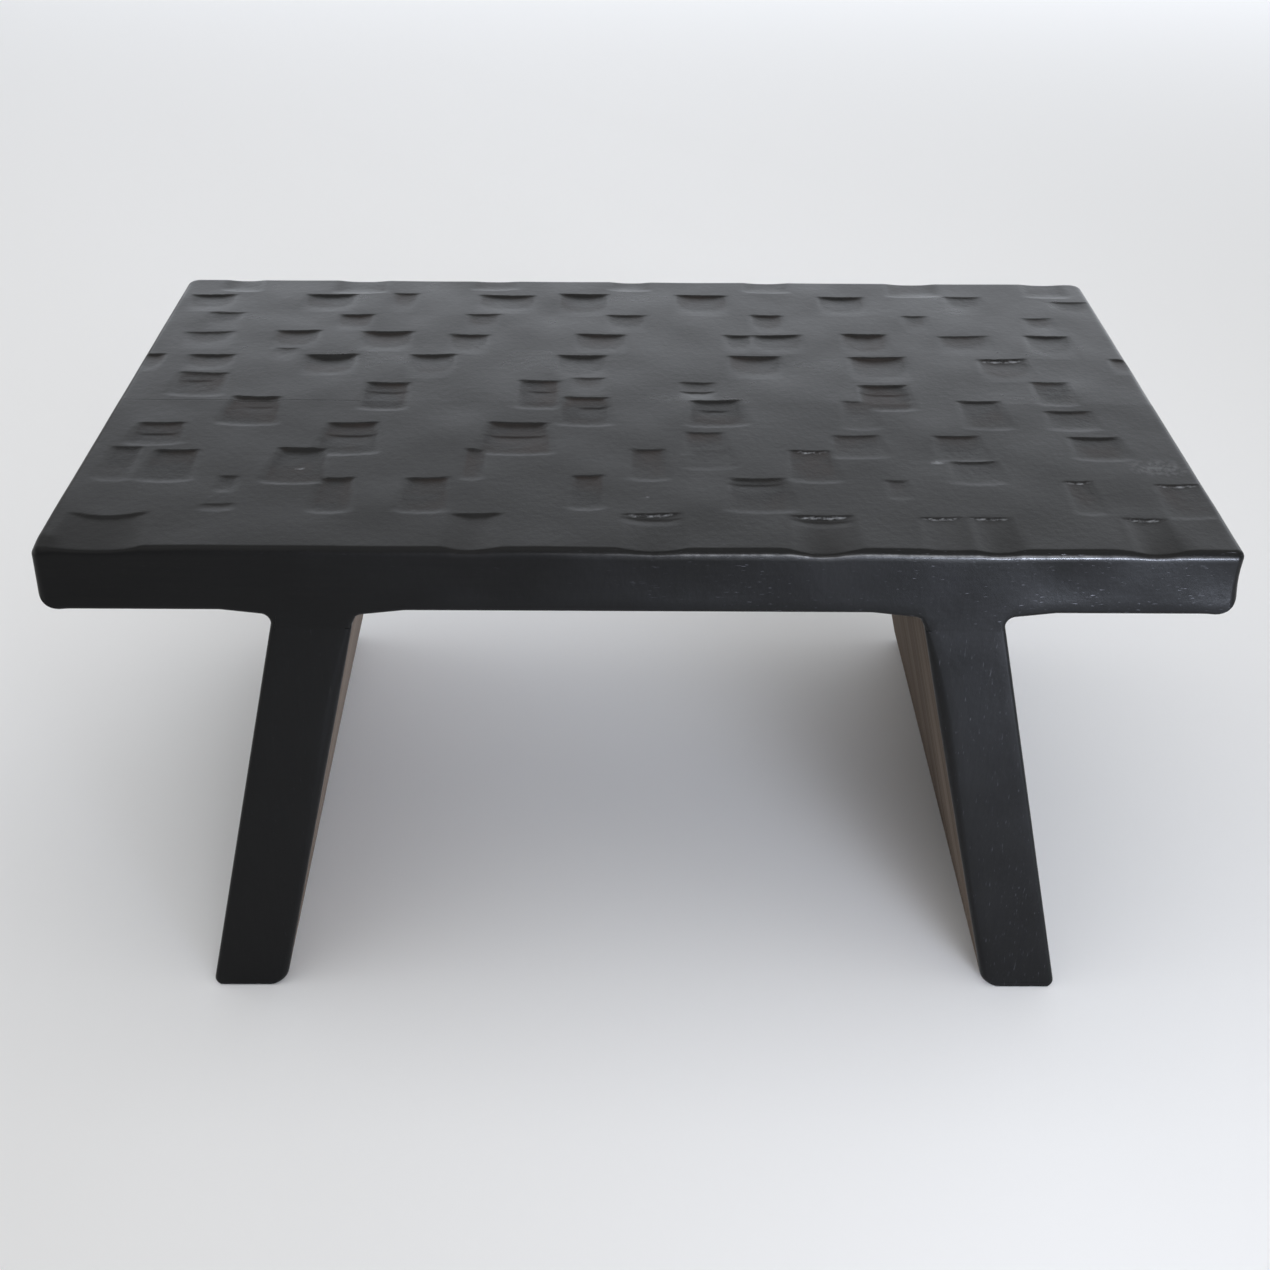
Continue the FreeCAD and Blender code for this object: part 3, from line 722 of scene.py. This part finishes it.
def leg_board(name, side, low_y, high_y, outer_edge):
    """One board of a leg: a ring at the sole drawn up level by level, each with its own rounded outline."""
    inner_rounds = np.interp(LEG_LEVELS, INNER_ARRIS_HEIGHTS, INNER_ARRIS_RADII)
    outlines = np.array([leg_outline(inner_round, high_y - low_y) for inner_round in inner_rounds])
    points = outlines.shape[1]

    bm = bmesh.new()
    turn = bm.verts.layers.int.new("turn")
    level = bm.verts.layers.int.new("level")
    ring = bmesh.ops.create_circle(bm, cap_ends=True, segments=points, radius=1.0)["verts"]
    for vert in ring:
        vert[turn] = round(math.atan2(vert.co.y, vert.co.x) / math.tau * points) % points
    rim = draw_levels(bm, list(bm.edges), level, len(LEG_LEVELS) - 1)
    bmesh.ops.holes_fill(bm, edges=rim, sides=0)
    mesh = mesh_from(bm, name)
    at = read_layers(mesh, ("turn", "level"))

    share, offset, depth = outlines[at["level"], at["turn"]].T
    z = LEG_LEVELS[at["level"]]
    inwards = 1.0 if outer_edge == low_y else -1.0
    y = outer_edge + inwards * np.maximum(depth, rim_fall(z, FRONT_FOOT_ROUND))
    outer = leg_face(LEG_OUTER_FOOT, -1.0, OUTER_FOOT_ROUND, z)
    inner = leg_face(LEG_INNER_FOOT, 1.0, INNER_FOOT_ROUND, z)
    if side < 0:
        towards_back = (y - SEAT_FRONT) / (SEAT_BACK - SEAT_FRONT)
        inner = inner + LEFT_LEG_BACK_THINNING * towards_back * (1.0 - z / SHOULDER)
    x = side * (inner + (outer - inner) * share + offset)
    place_vertices(mesh, x, y, z)
    bare_from = inner_rounds[at["level"]] + STAINED_BAND - BAND_TOLERANCE
    write_attribute(mesh, "bare", np.where((share == 0.0) & (depth > bare_from), 1.0, 0.0))
    finish_mesh(mesh, LEG_SHARP)
    return linked(name, mesh)


def linear(hex_colour):
    """An sRGB hex colour as linear red, green, blue and alpha."""
    parts = [int(hex_colour[start:start + 2], 16) / 255.0 for start in (1, 3, 5)]
    return [p / 12.92 if p <= 0.04045 else ((p + 0.055) / 1.055) ** 2.4 for p in parts] + [1.0]


def add(tree, kind, inputs=None, **settings):
    """Adds one node, sets it and links it: an input given a socket is linked, any other value is set."""
    made = tree.nodes.new(kind)
    for name, value in settings.items():
        setattr(made, name, value)
    for name, value in (inputs or {}).items():
        if isinstance(value, bpy.types.NodeSocket):
            tree.links.new(value, made.inputs[name])
        else:
            made.inputs[name].default_value = value
    return made


def per_metre(*sizes_mm):
    """Pattern scales for features of these sizes."""
    return tuple(1000.0 / size for size in sizes_mm)


def new_material(name):
    """A new material with an empty node tree, and that tree."""
    material = bpy.data.materials.new(name)
    material.use_nodes = True
    material.node_tree.nodes.clear()
    return material, material.node_tree


def blackened_wood(name, streak_mm, pore_mm, dullness, pores_and_sheen_amount, bare_tones=None):
    """Hardwood, adzed, blackened and wax-finished: near black and satin, duller and browner where it is torn,
    with painted glints on some bite walls and pale pores that are painted more thickly towards the lit right
    end.
    """
    material, tree = new_material(name)
    coords = add(tree, "ShaderNodeTexCoord").outputs["Object"]
    top = add(tree, "ShaderNodeAttribute", attribute_name="top").outputs["Fac"]
    bite = add(tree, "ShaderNodeAttribute", attribute_name="bite").outputs["Fac"]
    glints_and_wax_spots = add(tree, "ShaderNodeAttribute", attribute_name="glints_and_wax_spots").outputs["Fac"]
    worn = add(tree, "ShaderNodeAttribute", attribute_name="worn").outputs["Fac"]
    streak_place = add(tree, "ShaderNodeMapping", {"Vector": coords, "Scale": per_metre(*streak_mm)})
    streaks = add(tree, "ShaderNodeTexNoise", {
        "Vector": streak_place.outputs[0], "Scale": 1.0, "Detail": 4.0, "Roughness": 0.6,
    })
    blotches = add(tree, "ShaderNodeTexNoise", {
        "Vector": coords, "Scale": per_metre(BLOTCHES)[0], "Detail": 3.0, "Roughness": 0.55,
    })
    mottle_place = add(tree, "ShaderNodeMapping", {"Vector": coords, "Scale": per_metre(*MOTTLE)})
    mottle = add(tree, "ShaderNodeTexNoise", {
        "Vector": mottle_place.outputs[0], "Scale": 1.0, "Detail": 3.0, "Roughness": 0.6,
    })

    # use and light have faded the stain a little on the top
    stain = add(tree, "ShaderNodeMix", {
        "Factor": streaks.outputs[0], COLOUR_A: linear(STAIN[0]), COLOUR_B: linear(STAIN[1]),
    }, data_type="RGBA")
    faded = add(tree, "ShaderNodeMix", {
        "Factor": streaks.outputs[0], COLOUR_A: linear(FADED_STAIN[0]), COLOUR_B: linear(FADED_STAIN[1]),
    }, data_type="RGBA")
    stained = add(tree, "ShaderNodeMix", {
        "Factor": top, COLOUR_A: stain.outputs[COLOUR_OUT], COLOUR_B: faded.outputs[COLOUR_OUT],
    }, data_type="RGBA")

    # brown shows in blotches where the adze tore the grain
    torn_places = add(tree, "ShaderNodeMapRange", {
        "Value": blotches.outputs[0], "From Min": 0.44, "From Max": 0.64,
    })
    torn = add(tree, "ShaderNodeMath", {0: torn_places.outputs[0], 1: bite}, operation="MULTIPLY")
    brown = add(tree, "ShaderNodeMix", {
        "Factor": torn.outputs[0], COLOUR_A: stained.outputs[COLOUR_OUT], COLOUR_B: linear(TORN_WOOD),
    }, data_type="RGBA")

    # pale wax in the pores, painted more thickly towards the lit right end as a painted sheen, and hardly any
    # on the top
    pore_place = add(tree, "ShaderNodeMapping", {"Vector": coords, "Scale": per_metre(*pore_mm)})
    pores = add(tree, "ShaderNodeTexNoise", {
        "Vector": pore_place.outputs[0], "Scale": 1.0, "Detail": 1.0, "Roughness": 0.5,
    })
    pore_mask = add(tree, "ShaderNodeMapRange", {
        "Value": pores.outputs[0], "From Min": 0.70, "From Max": 0.80,
    })
    along = add(tree, "ShaderNodeSeparateXYZ", {0: coords})
    whitened = add(tree, "ShaderNodeMapRange", {
        "Value": along.outputs["X"], "From Min": PORE_WAX_AND_SHEEN_SPAN[0], "From Max": PORE_WAX_AND_SHEEN_SPAN[1],
        "To Min": LEAST_PORE_WAX_AND_SHEEN, "To Max": pores_and_sheen_amount,
    })
    on_sides = add(tree, "ShaderNodeMath", {
        0: top, 1: -PORE_WAX_AND_SHEEN_LOSS_ON_TOP, 2: 1.0,
    }, operation="MULTIPLY_ADD")
    pale_places = add(tree, "ShaderNodeMath", {
        0: whitened.outputs[0], 1: on_sides.outputs[0],
    }, operation="MULTIPLY")
    pale_mask = add(tree, "ShaderNodeMath", {
        0: pore_mask.outputs[0], 1: pale_places.outputs[0],
    }, operation="MULTIPLY")
    pale_pores = add(tree, "ShaderNodeMix", {
        "Factor": pale_mask.outputs[0], COLOUR_A: brown.outputs[COLOUR_OUT], COLOUR_B: linear(PALE_PORES_AND_SHEEN),
    }, data_type="RGBA")

    # painted glints along some walls of bites, broken up unevenly, and the whitened wax spots
    glint_and_spot_breakup = add(tree, "ShaderNodeMapRange", {
        "Value": mottle.outputs[0], "From Min": 0.42, "From Max": 0.62, "To Min": 0.1,
    })
    glint_and_spot_mask = add(tree, "ShaderNodeMath", {0: glints_and_wax_spots, 1: glint_and_spot_breakup.outputs[0]}, operation="MULTIPLY")
    colour = add(tree, "ShaderNodeMix", {
        "Factor": glint_and_spot_mask.outputs[0], COLOUR_A: pale_pores.outputs[COLOUR_OUT],
        COLOUR_B: linear(GLINT_AND_WAX_SPOT_WHITE),
    }, data_type="RGBA")

    # satin with duller blotches, dull in torn floors, and unevenly polished on worn arrises
    satin = add(tree, "ShaderNodeMapRange", {
        "Value": blotches.outputs[0], "From Min": 0.3, "From Max": 0.7,
        "To Min": dullness - SATIN_SWING, "To Max": dullness + SATIN_SWING,
    })
    roughness = add(tree, "ShaderNodeMath", {
        0: bite, 1: TORN_DULLNESS, 2: satin.outputs[0],
    }, operation="MULTIPLY_ADD")
    shine_places = add(tree, "ShaderNodeMapRange", {
        "Value": mottle.outputs[0], "From Min": 0.3, "From Max": 0.7, "To Min": 0.15, "To Max": 0.85,
    })
    shine = add(tree, "ShaderNodeMath", {0: worn, 1: shine_places.outputs[0]}, operation="MULTIPLY")
    grain = add(tree, "ShaderNodeMath", {
        0: streaks.outputs[0], 1: STREAK_RELIEF, 2: mottle.outputs[0],
    }, operation="MULTIPLY_ADD")
    torn_height = add(tree, "ShaderNodeMath", {0: bite, 1: TORN_RELIEF, 2: 1.0}, operation="MULTIPLY_ADD")
    relief = add(tree, "ShaderNodeMath", {
        0: grain.outputs[0], 1: torn_height.outputs[0],
    }, operation="MULTIPLY")

    # bare sawn wood shows where the stain stops, with a ragged border
    if bare_tones:
        bare = add(tree, "ShaderNodeAttribute", attribute_name="bare").outputs["Fac"]
        ragged = add(tree, "ShaderNodeMath", {0: bare, 1: streaks.outputs[0]}, operation="ADD")
        bare_mask = add(tree, "ShaderNodeMapRange", {
            "Value": ragged.outputs[0], "From Min": 0.75, "From Max": 1.0,
        })
        band_place = add(tree, "ShaderNodeMapping", {"Vector": coords, "Scale": per_metre(*BARE_BANDS)})
        bands = add(tree, "ShaderNodeTexNoise", {
            "Vector": band_place.outputs[0], "Scale": 1.0, "Detail": 5.0, "Roughness": 0.6,
        })
        band_mask = add(tree, "ShaderNodeMapRange", {
            "Value": bands.outputs[0], "From Min": 0.3, "From Max": 0.7,
        })
        bare_wood = add(tree, "ShaderNodeMix", {
            "Factor": band_mask.outputs[0], COLOUR_A: linear(bare_tones[0]), COLOUR_B: linear(bare_tones[1]),
        }, data_type="RGBA")
        colour = add(tree, "ShaderNodeMix", {
            "Factor": bare_mask.outputs[0], COLOUR_A: colour.outputs[COLOUR_OUT],
            COLOUR_B: bare_wood.outputs[COLOUR_OUT],
        }, data_type="RGBA")
        roughness = add(tree, "ShaderNodeMix", {
            "Factor": bare_mask.outputs[0], "A": roughness.outputs[0], "B": 1.0,
        })
        saw_marks = add(tree, "ShaderNodeMath", {
            0: bands.outputs[0], 1: bare_mask.outputs[0],
        }, operation="MULTIPLY")
        relief = add(tree, "ShaderNodeMath", {
            0: saw_marks.outputs[0], 1: SAW_MARK_RELIEF, 2: relief.outputs[0],
        }, operation="MULTIPLY_ADD")

    bump = add(tree, "ShaderNodeBump", {
        "Strength": 0.8, "Distance": RELIEF_MM * MM, "Height": relief.outputs[0],
    })
    shader = add(tree, "ShaderNodeBsdfPrincipled", {
        "Base Color": colour.outputs[COLOUR_OUT], "Roughness": roughness.outputs[0],
        "Normal": bump.outputs[0], "IOR": FILM_IOR,
        "Coat Weight": shine.outputs[0], "Coat Roughness": POLISH_ROUGHNESS, "Coat IOR": POLISH_IOR,
    })
    add(tree, "ShaderNodeOutputMaterial", {"Surface": shader.outputs[0]})
    return material


def bare_hardwood(name):
    """Sawn hardwood that the stain never reached: dull grey brown with fine darker streaks."""
    material, tree = new_material(name)
    coords = add(tree, "ShaderNodeTexCoord").outputs["Object"]
    place = add(tree, "ShaderNodeMapping", {"Vector": coords, "Scale": per_metre(*INSIDE_STREAKS)})
    streaks = add(tree, "ShaderNodeTexNoise", {"Vector": place.outputs[0], "Scale": 1.0, "Detail": 4.0})
    streak_mask = add(tree, "ShaderNodeMapRange", {
        "Value": streaks.outputs[0], "From Min": 0.3, "From Max": 0.7,
    })
    tone = add(tree, "ShaderNodeMix", {
        "Factor": streak_mask.outputs[0], COLOUR_A: linear(BARE_INSIDE[0]), COLOUR_B: linear(BARE_INSIDE[1]),
    }, data_type="RGBA")
    bump = add(tree, "ShaderNodeBump", {"Strength": 0.3, "Distance": 0.1 * MM, "Height": streaks.outputs[0]})
    shader = add(tree, "ShaderNodeBsdfPrincipled", {
        "Base Color": tone.outputs[COLOUR_OUT], "Roughness": 0.65, "Normal": bump.outputs[0],
    })
    add(tree, "ShaderNodeOutputMaterial", {"Surface": shader.outputs[0]})
    return material


def studio_floor():
    """A wide, matt, pale floor for the stool to stand on."""
    bm = bmesh.new()
    bmesh.ops.create_grid(bm, x_segments=2, y_segments=2, size=FLOOR_HALF)
    mesh = mesh_from(bm, "studio_floor")
    material, tree = new_material("matt pale floor")
    shader = add(tree, "ShaderNodeBsdfPrincipled", {
        "Base Color": linear("#f2f2f2"), "Roughness": 0.9, "Specular IOR Level": 0.1,
    })
    add(tree, "ShaderNodeOutputMaterial", {"Surface": shader.outputs[0]})
    mesh.materials.append(material)
    floor = linked("studio_floor", mesh)


def softbox(name, place, aim, width, height, glow, hex_colour, beam_degrees=OPEN_BEAM):
    """A flat studio lamp in metres, turned to its aim; glow is how bright its face looks from the aim."""
    lamp = bpy.data.lights.new(name, "AREA")
    lamp.shape = "RECTANGLE"
    lamp.size = width
    lamp.size_y = height
    lamp.energy = glow * math.pi * width * height
    if beam_degrees < OPEN_BEAM:
        # a lamp with a narrow beam keeps its power, so the power comes down by as much as the beam gathers it
        half_beam = math.radians(beam_degrees / 2)
        lamp.spread = 2 * half_beam
        lamp.energy *= 1.0 - half_beam / math.tan(half_beam)
    lamp.color = linear(hex_colour)[:3]
    box = linked(name, lamp)
    box.location = Vector(place)
    box.rotation_euler = (Vector(aim) - Vector(place)).to_track_quat("-Z", "Y").to_euler()
    box.visible_camera = False


def studio():
    """Soft studio light: broad boxes behind, overhead and on the left, two small ones at the front right."""
    world = bpy.data.worlds.new("studio room")
    bpy.context.scene.world = world
    world.use_nodes = True
    background = world.node_tree.nodes["Background"]
    background.inputs["Color"].default_value = linear("#ffffff")
    background.inputs["Strength"].default_value = ROOM_GLOW
    softbox("back softbox", place=(0.8, 3.2, 0.87), aim=(0.2, 0.0, 0.5),
            width=5.4, height=1.74, glow=1.5, hex_colour="#ebf1fb")
    softbox("overhead softbox", place=(0.0, -0.6, 2.7), aim=(0.0, -0.3, 0.0),
            width=4.0, height=3.0, glow=0.7, hex_colour="#ffffff")
    softbox("left softbox", place=(-3.2, 0.3, 0.9), aim=(0.0, 0.0, 0.2),
            width=3.6, height=1.6, glow=1.0, hex_colour="#ffffff")
    softbox("low right strip", place=(0.82, -1.4, 0.13), aim=(0.27, -0.2, 0.2),
            width=0.7, height=0.2, glow=210.0, hex_colour="#e2ebff", beam_degrees=36.0)
    softbox("front window", place=(0.36, -1.5, 0.75), aim=(0.13, -0.2, 0.28),
            width=0.7, height=0.9, glow=12.0, hex_colour="#f4f7ff", beam_degrees=40.0)


def photo_camera():
    """The camera at the photograph's angle."""
    data = bpy.data.cameras.new("photo_camera")
    data.sensor_width = SENSOR_MM
    data.lens = SENSOR_MM * FOCAL_PIXELS / PHOTO_PIXELS
    camera = linked("photo_camera", data)
    matrix = photo_camera_matrix()
    matrix.translation = CAMERA_PLACE * MM
    camera.matrix_world = matrix
    bpy.context.scene.camera = camera


photo_camera()
studio_floor()
studio()
bpy.context.scene.view_settings.view_transform = "Standard"

# the last number is how much pale pore wax, with painted sheen, grows towards the lit right end
front_wood = blackened_wood(
    "adzed blackened hardwood, front of seat", SEAT_STREAKS, SEAT_PORES, dullness=0.36, pores_and_sheen_amount=1.0)
back_wood = blackened_wood(
    "adzed blackened hardwood, back of seat", SEAT_STREAKS, SEAT_PORES, dullness=0.31, pores_and_sheen_amount=1.0)
leg_wood = blackened_wood(
    "adzed blackened hardwood, legs", LEG_STREAKS, LEG_PORES, dullness=0.40, pores_and_sheen_amount=0.3,
    bare_tones=BARE_LEG)
inner_wood = bare_hardwood("sawn bare hardwood")

boards = {
    "seat_front_board": (seat_board, (SEAT_FRONT, SEAT_SEAM, SEAT_FRONT, FRONT_CORNER), front_wood),
    "seat_back_board": (seat_board, (SEAT_SEAM, SEAT_BACK, SEAT_BACK, BACK_CORNER), back_wood),
    "left_leg_front_board": (leg_board, (-1, SEAT_FRONT, LEG_SEAM, SEAT_FRONT), leg_wood),
    "left_leg_back_board": (leg_board, (-1, LEG_SEAM, SEAT_BACK, SEAT_BACK), leg_wood),
    "right_leg_front_board": (leg_board, (1, SEAT_FRONT, LEG_SEAM, SEAT_FRONT), leg_wood),
    "right_leg_back_board": (leg_board, (1, LEG_SEAM, SEAT_BACK, SEAT_BACK), leg_wood),
}
for node_name, (make, sizes, wood) in boards.items():
    board = make(node_name + "_worked", *sizes)
    board.data.materials.append(wood)
    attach(board, "root")
    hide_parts(node_name)

for node_name, cad_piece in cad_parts.items():
    if node_name not in boards:
        cad_piece.data.materials.clear()
        cad_piece.data.materials.append(inner_wood)
